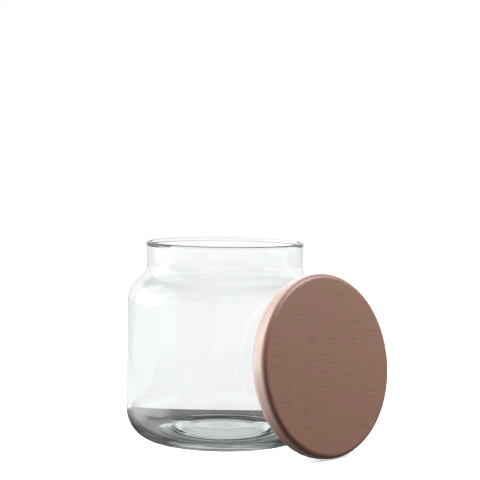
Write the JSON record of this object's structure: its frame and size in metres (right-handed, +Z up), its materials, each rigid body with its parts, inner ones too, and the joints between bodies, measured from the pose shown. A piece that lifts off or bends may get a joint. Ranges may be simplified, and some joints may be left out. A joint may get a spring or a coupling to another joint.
{
  "type": "storage jar",
  "caption": "Clear glass storage jar with a rounded shoulder and short straight neck, its turned wooden lid taken off and leaning against it.",
  "frame": {"origin": "on the surface that the jar stands on, at the middle of the jar's base", "axes": "+Z up along the jar's axis, out of its mouth; the picture looks along +Y, with +X to its right"},
  "size_m": [0.1443, 0.1393, 0.1108],
  "materials": {
    "jar_glass": "clear, fire-polished",
    "lid_beech": "turned and oiled",
    "gasket_silicone": "translucent white, matt"
  },
  "bodies": {
    "jar": {"glass_jar": "jar_glass"},
    "lid": {"wooden_lid": "lid_beech", "lid_gasket": "gasket_silicone"}
  },
  "joints": [
    {"name": "lid_lift", "type": "slide", "parent": "jar", "child": "lid", "axis": [0, 0, 1], "range_m": [0, 0.12]}
  ]
}
